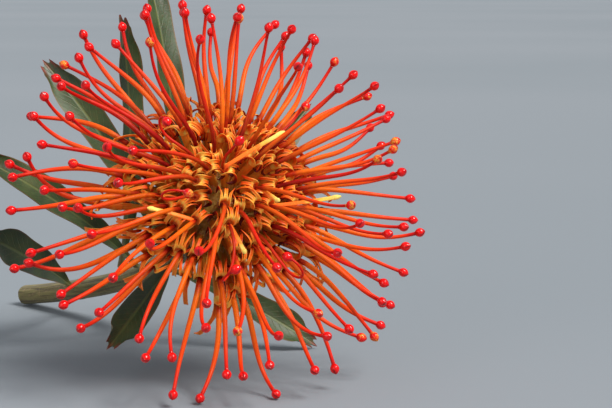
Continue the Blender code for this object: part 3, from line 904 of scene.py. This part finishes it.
def add_knob(shape, floret, pollen, spin):
    """The pollen presenter: an ovoid with a fine groove that runs over its tip."""
    share = (1.0 - np.cos(np.linspace(0.0, math.pi, KNOB_ROWS))) / 2.0
    stations = floret.length - KNOB_LENGTH * (1.0 - share)
    path = along_path(floret.path, floret.length, stations)
    body = np.sin(math.pi * np.clip(share, 0.02, 0.985)) ** 0.62 * (0.93 + 0.12 * share)
    radii = KNOB_RADIUS * np.maximum(body, 0.44 * (1.0 - share) ** 2)
    near = np.abs(np.cos(turns(KNOB_SIDES) + spin))
    groove = np.exp(-((near / 0.20) ** 2)) * smooth((share[:, None] - 0.45) / 0.35)
    rings = round_rings(path, HEAD_AXIS, radii[:, None] * (1.0 - 0.16 * groove), KNOB_SIDES)
    shape.add(rings, along=share[:, None], groove=groove, pollen=pollen)


def add_tube(shape, floret, tint):
    """The closed part of the perianth, from its foot to where the lobes part."""
    share = np.linspace(0.0, 1.0, TUBE_ROWS)
    end = floret.perianth - CLAW_BEFORE + TUBE_OVERLAP
    path = along_path(floret.path, floret.length, TUBE_FOOT + (end - TUBE_FOOT) * share)
    rings = round_rings(path, HEAD_AXIS, np.interp(share, *zip(*TUBE_PROFILE)), TUBE_SIDES)
    shape.add(rings, turn=share[:, None] * MOUTH_TURN, edge=0.0, tint=tint)


def claw_line(length, turn):
    """A lobe's middle line as it rolls back: distance up, distance away and heading per row."""
    share = np.linspace(0.0, 1.0, CLAW_ROWS)
    heading = np.radians(np.interp(share, CLAW_BENDS[0], CLAW_BENDS[1])) * turn
    step = length / (CLAW_ROWS - 1)
    middle = (heading[1:] + heading[:-1]) / 2
    up = np.concatenate([[0.0], np.cumsum(np.cos(middle)) * step])
    away = np.concatenate([[0.0], np.cumsum(np.sin(middle)) * step])
    return share, heading, up, away


def add_claw(shape, mouth, ahead, towards, lobe, width, open_curve, length, turn, tint, warmth=0.0):
    """One lobe of the perianth. Lobes -1, 0 and 1 lie edge to edge and make one ribbed sheet.

    The warmer a lobe is, the less it takes of the painted highlights and shade, and the more even
    is its orange.
    """
    side = np.cross(ahead, towards)
    share, heading, up, away = claw_line(length, turn)
    opened = smooth(share / OPENED)
    leg = smooth((share - LEG_START) / 0.14)
    limb = smooth((share - LIMB_START) / 0.12)
    tip = smooth((share - TIP_START) / (1.0 - TIP_START))
    bend = (1.0 - opened) / MOUTH_RADIUS + opened / open_curve
    quarter = MOUTH_RADIUS * math.pi / 4
    half = quarter * (1.0 - opened) + width * opened
    own = half * (1.0 - 0.26 * leg) * (1.0 + 0.12 * limb) * (1.0 - 0.86 * tip)
    cup = bend * (1.0 - leg) + leg * ((1.0 - limb) / LEG_CURVE + limb / LIMB_CURVE)
    columns = np.linspace(-1.0, 1.0, CLAW_COLUMNS)

    inner = ahead * np.sin(heading)[:, None] - towards * np.cos(heading)[:, None]
    line = mouth + ahead * up[:, None] + towards * (MOUTH_RADIUS + away)[:, None]
    angle = bend * half * 2.0 * lobe
    fan = side * (lobe * LEG_FAN * smooth((share - LEG_START) / (1.0 - LEG_START)))[:, None]
    middle = line + side * (np.sin(angle) / bend)[:, None]
    middle = middle + inner * ((1.0 - np.cos(angle)) / bend)[:, None] + fan
    flat = side * np.cos(angle)[:, None] + inner * np.sin(angle)[:, None]
    normal = inner * np.cos(angle)[:, None] - side * np.sin(angle)[:, None]

    across = (cup * own)[:, None] * columns
    grid = middle[:, None] + flat[:, None] * (np.sin(across) / cup[:, None])[:, :, None]
    grid = grid + normal[:, None] * ((1.0 - np.cos(across)) / cup[:, None])[:, :, None]
    faces = normal[:, None] * np.cos(across)[:, :, None]
    faces = faces - flat[:, None] * np.sin(across)[:, :, None]
    thick = CLAW_THICKNESS * (0.5 + 0.2 * limb[:, None]) * (1.0 - 0.35 * columns**4)
    rise = faces * thick[:, :, None]
    rings = np.concatenate([grid + rise, (grid - rise)[:, ::-1]], axis=1)

    # Paler rims at the lobe's edges: painted highlight.
    edge = np.abs(there_and_back(columns)) * (1.0 - WARM_EDGE * warmth)
    # The colour follows the roll: painted highlight on top of the fold, painted shade as the lobe
    # curls under.
    rolled = (1.0 - MOUTH_TURN) * heading / math.radians(CLAW_BENDS[1][-1])
    colour = MOUTH_TURN + mix((rolled, WARM_TURN), warmth)
    # Each lobe's underside is darker and redder: painted shade.
    under = np.repeat([0.0, UNDER_SHADE_TURN], CLAW_COLUMNS)
    shape.add(rings, flat=True, turn=colour[:, None] + under, edge=edge, tint=tint)


def add_crown(shape, rng, floret, tint):
    """The four lobes at a floret's mouth: three roll inwards as a sheet, one rolls outwards."""
    stations = [floret.perianth - CLAW_BEFORE * share for share in (1.0, 0.6)]
    spots = along_path(floret.path, floret.length, stations)
    ahead = unit(spots[1] - spots[0])
    away = outward(spots[0], floret.path[-1] - floret.path[0])
    inward = -unit(away - ahead * (away @ ahead))
    twist = Matrix.Rotation(jitter(rng, CROWN_TWIST), 3, Vector(ahead))
    inward = np.array(twist @ Vector(inward))
    outer = floret.tuft / TUFTS
    scale = rng.uniform(*CROWN_RANGE) * mix(CROWN_SCALE, outer)
    turn = rng.uniform(*ROLL_RANGE)
    for lobe in (-1, 0, 1):
        length = CLAW_LENGTH[0] * scale * (1.0 - 0.04 * abs(lobe))
        add_claw(shape, spots[0], ahead, inward, lobe, SHEET_HALF_WIDTH / 3, SHEET_CURVE, length,
                 turn + 0.05 * rng.uniform(-1, 1), tint)
    reach = CLAW_LENGTH[1] * scale * mix(FREE_REACH, outer)
    roll = rng.uniform(*FREE_ROLL_RANGE) * mix(FREE_ROLL, outer)
    width = mix(FREE_HALF_WIDTH, outer)
    warmth = math.sqrt(outer)
    add_claw(shape, spots[0], ahead, -inward, 0, width, FREE_CURVE, reach, roll, tint, warmth)


# Loose lobes that haven't rolled up: which floret, azimuth and polar angle in the head's frame
# (degrees), length, and how far they sag (degrees).
STRAPS = (
    (0, 24, 66, 0.0178, 14),
    (1, -52, 58, 0.0070, 20),
    (16, -4, 74, 0.0170, -12),
    (23, 166, 70, 0.0125, 18),
    (22, -80, 62, 0.0100, 16),
)
STRAP_HALF_WIDTH = (0.00052, 0.00066)  # of its claw and of the swollen limb at its end
STRAP_HALF_DEPTH = (0.00022, 0.00052)
STRAP_ROWS = 22
STRAP_SIDES = 12


def add_strap(shape, floret, azimuth, polar, length, sag, tint):
    """A narrow lobe that stands off nearly straight, with a pale swollen limb at its end."""
    mouth = along_path(floret.path, floret.length, [floret.perianth - CLAW_BEFORE * 0.3])[0]
    share = np.linspace(0.0, 1.0, STRAP_ROWS)
    lean = np.radians(polar * smooth(share / 0.15) * 0.6 + polar * 0.4 + sag * share)
    turn = math.radians(azimuth)
    out = np.sin(lean)
    heading = np.stack([out * math.cos(turn), out * math.sin(turn), np.cos(lean)], axis=1)
    heading = heading @ np.array(head_matrix())[:3, :3].T
    steps = heading[1:] * length / (STRAP_ROWS - 1)
    path = mouth + np.vstack([np.zeros(3), np.cumsum(steps, axis=0)])
    _, first, second = cross_frames(path, HEAD_AXIS)
    angles = turns(STRAP_SIDES)
    limb = smooth((share - 0.84) / 0.06)
    end = np.sqrt(np.clip(1.0 - ((share - 0.90) / 0.1035) ** 2, 0.0, 1.0)) * limb + 1.0 - limb
    wide = mix(STRAP_HALF_WIDTH, limb) * end
    deep = mix(STRAP_HALF_DEPTH, limb) * end
    groove = 1.0 - 0.5 * np.exp(-((angles / 0.6) ** 2)) * (1.0 - limb[:, None])
    height = np.cos(angles) * deep[:, None] * groove
    rings = path[:, None] + first[:, None] * height[:, :, None]
    rings = rings + second[:, None] * (np.sin(angles) * wide[:, None])[:, :, None]
    colour = 0.66 - 0.22 * share[:, None]
    shape.add(rings, turn=colour, edge=smooth((share[:, None] - 0.5) / 0.4), tint=tint)


def floret_tint(rng, floret):
    """How red a floret is: the inner ones and those of the head's upper left are redder."""
    tip = floret.path[-1] - np.array(HEAD_PLACE)
    inner = 1.0 - floret.tuft / TUFTS
    left = max(0.0, -tip[0]) / 0.05 * max(0.0, tip[2]) / 0.05
    return min(1.0, max(0.0, 0.50 * inner**1.5 + 0.85 * left + rng.gauss(0.02, 0.28)))


def build_florets(skins):
    rng = random.Random(SEED + 1)
    florets = grow_florets()
    for tuft in range(TUFTS):
        styles, knobs, perianths = Shape(), Shape(), Shape()
        for floret in florets[tuft * TUFT_FLORETS : (tuft + 1) * TUFT_FLORETS]:
            tint = floret_tint(rng, floret)
            late = any(florets[number] is floret for number in LATE)
            tint = max(tint, 0.9) if late else tint
            add_style(styles, floret, tint, late)
            add_knob(knobs, floret, float(rng.random() < POLLEN_SHARE), rng.uniform(0, math.tau))
            shade = rng.uniform(0.0, 1.0)
            add_tube(perianths, floret, shade)
            add_crown(perianths, rng, floret, shade)
            for number, *facts in STRAPS:
                if florets[number] is floret:
                    add_strap(perianths, floret, *facts, 0.0)
        node = f"floret_tuft_{tuft + 1:02d}"
        add_piece(styles, f"styles_{tuft + 1:02d}", skins["style"], "floret", node)
        add_piece(knobs, f"presenters_{tuft + 1:02d}", skins["presenter"], "floret", node)
        add_piece(perianths, f"perianths_{tuft + 1:02d}", skins["perianth"], "floret", node)
    return florets


# ---------------- receptacle, bracts and scales

FLORET_SCALES = 4
SCALE_LENGTH = (0.0036, 0.0052)
SCALE_HALF_WIDTH = 0.00075
SCALE_THICKNESS = 0.00022
SCALE_ROWS = 7
SCALE_OFFSET = 0.00078
SCALE_SUNK = 0.0006


def build_receptacle(skin):
    """The blunt cone that the florets stand on, with a slightly lumpy woolly surface."""
    rows, sides = 22, 44
    angles = turns(sides)
    rings = []
    heights = [-RECEPTACLE_FOOT, -RECEPTACLE_FOOT * 0.5]
    heights += [RECEPTACLE_HEIGHT * (i / (rows - 1)) ** 0.8 * 0.998 for i in range(rows)]
    for height in heights:
        lumps = 1.0 + 0.02 * np.sin(angles * 13 + height * 4000) + 0.015 * np.sin(angles * 8)
        foot = 0.90 if height < -RECEPTACLE_FOOT * 0.7 else 1.0
        radius = receptacle_radius(height) * foot * 0.985 * lumps
        level = np.full(sides, height)
        rings.append(np.stack([radius * np.cos(angles), radius * np.sin(angles), level], 1))
    shape = Shape()
    shape.add(to_world(np.array(rings)), tip=0.0)
    add_piece(shape, "receptacle_wool", skin, "receptacle", "receptacle")


def add_scale(shape, foot, heading, outer, length, half_width, curl):
    """A small pointed scale that leaves its foot along a heading and bends to its outer side."""
    side = np.cross(heading, outer)
    columns = np.linspace(-1.0, 1.0, 5)
    place = np.array(foot, dtype=float)
    rings = []
    for row in range(SCALE_ROWS):
        along = row / (SCALE_ROWS - 1)
        angle = curl * along
        ahead = heading * math.cos(angle) + outer * math.sin(angle)
        face = outer * math.cos(angle) - heading * math.sin(angle)
        width = half_width * (0.55 + 1.5 * along) * (1.0 - along) ** 0.75 + half_width * 0.05
        cupped = -0.35 * half_width * columns**2
        line = place + side * (columns * width)[:, None] + face * cupped[:, None]
        depth = SCALE_THICKNESS * (1.0 - 0.6 * along) * (1.0 - 0.6 * columns**2)
        rings.append(sheet_ring(line, face, depth))
        place = place + ahead * length / (SCALE_ROWS - 1)
    share = np.linspace(0.0, 1.0, SCALE_ROWS)[:, None]
    shape.add(np.array(rings), flat=True, tip=smooth((share - 0.6) / 0.4) * 0.7)


def build_floret_scales(florets, skin):
    """The woolly bract around each floret's foot, as four small scales."""
    rng = random.Random(SEED + 2)
    for tuft in range(TUFTS):
        shape = Shape()
        for floret in florets[tuft * TUFT_FLORETS : (tuft + 1) * TUFT_FLORETS]:
            ahead = unit(floret.path[2] - floret.path[0])
            away = outward(floret.path[0], floret.path[-1] - floret.path[0])
            away = unit(away - ahead * (away @ ahead))
            side = np.cross(ahead, away)
            start = rng.uniform(0, math.tau)
            for i in range(FLORET_SCALES):
                angle = start + i * math.tau / FLORET_SCALES + rng.gauss(0, 0.15)
                out = away * math.cos(angle) + side * math.sin(angle)
                foot = floret.path[0] + out * SCALE_OFFSET - ahead * SCALE_SUNK
                lean = unit(ahead + out * rng.uniform(0.02, 0.10))
                out = unit(out - lean * (out @ lean))
                length = rng.uniform(*SCALE_LENGTH)
                add_scale(shape, foot, lean, out, length, SCALE_HALF_WIDTH, rng.uniform(0.05, 0.35))
        add_piece(shape, f"floret_bracts_{tuft + 1:02d}", skin, "bract")


BRACT_ROWS = 20
BRACT_COLUMNS = 11
BRACT_THICKNESS = 0.00034
BRACT_CUP = 0.0005
BRACT_KEEL = 0.00012
BRACT_CURL = math.radians(24)  # how far the tip bends out


def add_bract(shape, azimuth, start, length, half_width, lean, tint):
    """A pointed involucral scale that hugs the head's underside, its thin edge fringed."""
    radial = np.array([math.cos(azimuth), math.sin(azimuth), 0.0])
    side = np.array([-math.sin(azimuth), math.cos(azimuth), 0.0])
    axis = np.array([0.0, 0.0, 1.0])
    columns = np.linspace(-1.0, 1.0, BRACT_COLUMNS)
    place = radial * start[0] + axis * start[1]
    rings = []
    for row in range(BRACT_ROWS):
        along = row / (BRACT_ROWS - 1)
        angle = mix(lean, along) + BRACT_CURL * max(0.0, along - 0.75) / 0.25
        heading = axis * math.cos(angle) + radial * math.sin(angle)
        outer = np.cross(side, heading)
        width = half_width * (0.62 + 0.95 * along) * (1.0 - along**2.2) ** 0.8 + half_width * 0.04
        fringe = 1.0 + 0.05 * math.sin(row * 2.6 + tint * 40) * (0.2 < along < 0.95)
        cupped = BRACT_KEEL * np.exp(-((columns / 0.16) ** 2)) - BRACT_CUP * columns**2
        line = place + side * (columns * width * fringe)[:, None] + outer * cupped[:, None]
        depth = BRACT_THICKNESS * (1.0 - 0.5 * along) * (1.0 - 0.7 * columns**2)
        rings.append(sheet_ring(line, outer, depth))
        place = place + heading * length / (BRACT_ROWS - 1)
    share = np.linspace(0.0, 1.0, BRACT_ROWS)[:, None]
    across = there_and_back(columns)
    shape.add(to_world(np.array(rings)), flat=True, along=share, across=across, tint=tint)


BRACT_WIDER = 1.12  # the visible scales overlap more than the CAD's
INNER_BRACTS = (
    # how many, foot (radius, height), length, half width and lean
    (12, (0.0062, -0.0056), 0.0086, 0.0024, (math.radians(48), math.radians(74))),
    (15, (0.0078, -0.0030), 0.0082, 0.0023, (math.radians(56), math.radians(82))),
)


def build_bracts(skin):
    """The outer ring stands for the CAD's nine scales. Two more rings lie inside it."""
    rng = random.Random(SEED + 3)
    for index in range(BRACTS):
        shape = Shape()
        azimuth = math.tau * (index + 0.5) / BRACTS
        width = BRACT_HALF_WIDTH * BRACT_WIDER
        add_bract(shape, azimuth, BRACT_START, BRACT_LENGTH, width, BRACT_LEAN, rng.random())
        name = f"involucral_bract_{index + 1}"
        add_piece(shape, f"{name}_scale", skin, "bract", name)
    for ring, (count, start, length, half_width, lean) in enumerate(INNER_BRACTS):
        shape = Shape()
        for index in range(count):
            azimuth = math.tau * (index + 0.25) / count + rng.gauss(0, 0.03)
            grown = length * rng.uniform(0.92, 1.06)
            add_bract(shape, azimuth, start, grown, half_width, lean, rng.random())
        add_piece(shape, f"inner_bracts_{ring + 1}", skin, "bract")


# ---------------- stem and leaves

STEM_SIDES = 32
STEM_ROWS = 90


def build_stem(skin):
    """The woody stem, with low ridges, a swelling under each leaf and a pale cut end."""
    line = stem_path()
    share = np.linspace(0.0, 1.0, STEM_ROWS)
    centres = np.array([stem_spot(line, s)[0] for s in share])
    angles = turns(STEM_SIDES)
    radii = np.array([stem_radius(s * STEM_LENGTH) for s in share])[:, None]
    ridges = 0.018 * np.sin(angles * 5 + share[:, None] * 9)
    ridges = ridges + 0.012 * np.sin(angles * 11 - share[:, None] * 30)
    for leaf in LEAVES.values():
        ridges = ridges + 0.06 * np.exp(-(((share[:, None] - leaf[0]) / 0.012) ** 2))
    radii = radii * (0.985 + ridges)
    rows = [centres]
    rims = [radii]
    for shrink in (0.93, 0.55, 0.08):
        rows.append(centres[-1:] - (centres[-1] - centres[-2]) * 0.04 * (1.0 - shrink))
        rims.append(radii[-1:] * shrink)
    _, first, second = cross_frames(centres, np.array([1.0, 0.0, 0.0]))
    first = np.vstack([first, np.repeat(first[-1:], 3, axis=0)])
    second = np.vstack([second, np.repeat(second[-1:], 3, axis=0)])
    middle = np.vstack(rows)
    rings = middle[:, None] + spokes(first, second, STEM_SIDES) * np.vstack(rims)[:, :, None]
    rings[..., 2] = np.maximum(rings[..., 2], 0.0)
    cut = np.concatenate([np.zeros(STEM_ROWS), [0.10, 0.50, 0.95]])
    along = np.concatenate([share, np.ones(3)])
    shape = Shape()
    shape.add(rings, along=along[:, None], cut=cut[:, None], **around(STEM_SIDES))
    add_piece(shape, "stem_bark", skin, "stem", "stem")


LEAF_ROWS = 72
LEAF_COLUMNS = 17
LEAF_WAVE = 0.00045
RIB_HALF_WIDTH = 0.0006
RIB_GROOVE = 0.00012  # on the upper face
RIB_RIDGE = 0.00035  # on the lower face
TEETH = (-0.66, 0.0, 0.66)


def leaf_teeth(columns):
    """How far each column stands out at the leaf's end, and how much of it is a tooth."""
    peaks = sum(np.exp(-(((columns - place) / 0.15) ** 2)) for place in TEETH)
    return TOOTH * peaks - TOOTH * 1.6 * columns**2, peaks


def build_leaf(name, stem, skin, phase):
    """A leathery leaf on the CAD leaf's own line: cupped, gently waved, and toothed at its end."""
    share, direction, length, half_width, lean, lean_end, twist = LEAVES[name]
    centre, forward = stem_spot(stem, share)
    right = (Vector((1, 0, 0)) - forward * forward.x).normalized()
    up = forward.cross(right)
    angle = math.radians(direction)
    out = right * math.cos(angle) + up * math.sin(angle)
    side = forward.cross(out)
    place = centre + out * (stem_radius(share * STEM_LENGTH) + GAP + LEAF_THICKNESS * 0.5)
    columns = np.linspace(-1.0, 1.0, LEAF_COLUMNS)
    reach, peaks = leaf_teeth(columns)
    rings, callus = [], []
    for row in range(LEAF_ROWS):
        along = row / (LEAF_ROWS - 1)
        bend = math.radians(lean + (lean_end - lean) * along)
        heading = forward * math.cos(bend) + out * math.sin(bend)
        across = Matrix.Rotation(math.radians(twist) * along, 3, heading) @ side
        upper = np.array(heading.cross(across))
        width = half_width * leaf_half_width(along)
        stalk = 1.0 - float(smooth(along / 0.14))
        thick = LEAF_THICKNESS * (1.0 - 0.45 * along) * 0.5 * (1.0 + 0.9 * stalk)
        wave = LEAF_WAVE * math.sin(along * 19 + phase) * columns**2 * np.sign(columns)
        cupped = LEAF_CUP * columns**2 * min(1.0, along * 3.0) + wave * min(1.0, along * 3.0)
        rib = np.exp(-((columns * width / RIB_HALF_WIDTH) ** 2)) * (1.0 - 0.8 * along)
        line = np.array(place) + np.array(across) * (columns * width)[:, None]
        line = line + upper * (cupped - RIB_GROOVE * rib)[:, None]
        line = line + np.array(heading) * (reach * float(smooth((along - 0.86) / 0.14)))[:, None]
        depth = thick * (1.0 - 0.62 * np.abs(columns) ** 3)
        top = line + upper * depth[:, None]
        bottom = line - upper * (depth + RIB_RIDGE * rib)[:, None]
        ring = np.concatenate([top, bottom[::-1]])
        ring[:, 2] += max(0.0, FLOOR_GAP - ring[:, 2].min())
        rings.append(ring)
        tips = peaks * float(smooth((along - 0.93) / 0.06))
        callus.append(there_and_back(tips))
        place = place + heading * (length / (LEAF_ROWS - 1))
    shape = Shape()
    shape.add(
        np.array(rings),
        flat=True,
        along=np.linspace(0.0, 1.0, LEAF_ROWS)[:, None],
        across=there_and_back(columns),
        under=np.repeat([0.0, 1.0], LEAF_COLUMNS),
        callus=np.array(callus),
    )
    add_piece(shape, f"{name}_blade", skin, "leaf", name)


# ---------------- floor, light, camera

CAMERA_AZIMUTH = math.radians(-19.5)
CAMERA_ELEVATION = math.radians(7.5)
CAMERA_DISTANCE = 0.434
CAMERA_LENS = 101.0
CAMERA_AIM = (0.0246, 0.0025)  # right of and above the head's origin, as the camera sees it

KEY_PLACE = (0.36, -0.52, 0.80)
KEY_WIDTH = math.radians(28)
FILL_PLACE = (-0.95, -0.75, 0.45)
SKY_COLOUR = (0.92, 0.95, 1.0, 1.0)
SKY_STRENGTH = 0.42

# Height of the floor at each radius: flat far beyond the camera's view, then a soft rising wall.
FLOOR_FLAT = ((0.02, 0.0), (0.3, 0.0), (2.0, 0.0), (14.0, 0.0))
FLOOR_PROFILE = (*FLOOR_FLAT, (16.0, 0.4), (18.0, 1.6), (19.0, 4.0))
FLOOR_SIDES = 96
FLOOR_DROP = 0.0001


def build_floor(skin):
    rim = [(math.cos(angle), math.sin(angle)) for angle in turns(FLOOR_SIDES)]
    bm = bmesh.new()
    below = None
    for radius, height in FLOOR_PROFILE:
        ring = [bm.verts.new((radius * x, radius * y, height - FLOOR_DROP)) for x, y in rim]
        if below is None:
            bm.faces.new(ring)
        else:
            for i in range(FLOOR_SIDES):
                after = (i + 1) % FLOOR_SIDES
                bm.faces.new((below[i], ring[i], ring[after], below[after]))
        below = ring
    mesh = bpy.data.meshes.new("studio_floor")
    bm.to_mesh(mesh)
    bm.free()
    mesh.shade_smooth()
    mesh.materials.append(skin)
    floor = bpy.data.objects.new("studio_floor", mesh)
    bpy.context.scene.collection.objects.link(floor)


def add_lamp(name, kind, place, aim, power, colour, **settings):
    """A lamp at a place that faces an aim. Of a sun, only the direction between them counts."""
    data = bpy.data.lights.new(name, kind)
    data.energy = power
    data.color = colour
    for key, value in settings.items():
        setattr(data, key, value)
    lamp = bpy.data.objects.new(name, data)
    lamp.location = place
    lamp.rotation_euler = (Vector(aim) - Vector(place)).to_track_quat("-Z", "Y").to_euler()
    bpy.context.scene.collection.objects.link(lamp)


def light_scene():
    """A large soft lamp high on the right, a weak one on the left and an even pale sky."""
    add_lamp("key", "SUN", KEY_PLACE, (0, 0, 0), 4.0, (1.0, 0.97, 0.93), angle=KEY_WIDTH)
    add_lamp(
        "left_fill", "AREA", FILL_PLACE, HEAD_PLACE, 3.5, (1.0, 0.97, 0.94), shape="DISK", size=0.9
    )
    world = bpy.data.worlds.new("studio")
    bpy.context.scene.world = world
    world.use_nodes = True
    shade = world.node_tree.nodes["Background"]
    shade.inputs["Color"].default_value = SKY_COLOUR
    shade.inputs["Strength"].default_value = SKY_STRENGTH
    bpy.context.scene.view_settings.view_transform = "Standard"


def place_camera():
    data = bpy.data.cameras.new("camera")
    data.lens = CAMERA_LENS
    data.sensor_width = 36.0
    data.clip_start = 0.01
    data.clip_end = 30.0
    camera = bpy.data.objects.new("camera", data)
    right = Vector((math.cos(CAMERA_AZIMUTH), math.sin(CAMERA_AZIMUTH), 0.0))
    level = Vector((right.y, -right.x, 0.0))
    back = level * math.cos(CAMERA_ELEVATION) + Vector((0, 0, math.sin(CAMERA_ELEVATION)))
    up = right.cross(-back)
    aim = Vector(HEAD_PLACE) + right * CAMERA_AIM[0] + up * CAMERA_AIM[1]
    camera.location = aim + back * CAMERA_DISTANCE
    camera.rotation_euler = (-back).to_track_quat("-Z", "Y").to_euler()
    bpy.context.scene.collection.objects.link(camera)
    bpy.context.scene.camera = camera


def main():
    place_camera()
    light_scene()
    skins = {"style": style_skin(), "presenter": presenter_skin(), "perianth": perianth_skin()}
    florets = build_florets(skins)
    wool = wool_skin()
    build_receptacle(wool)
    build_floret_scales(florets, wool)
    build_bracts(bract_skin())
    build_stem(stem_skin())
    leaf = leaf_skin()
    stem = stem_path()
    for index, name in enumerate(LEAVES):
        build_leaf(name, stem, leaf, index * 1.7)
    build_floor(floor_skin())


main()
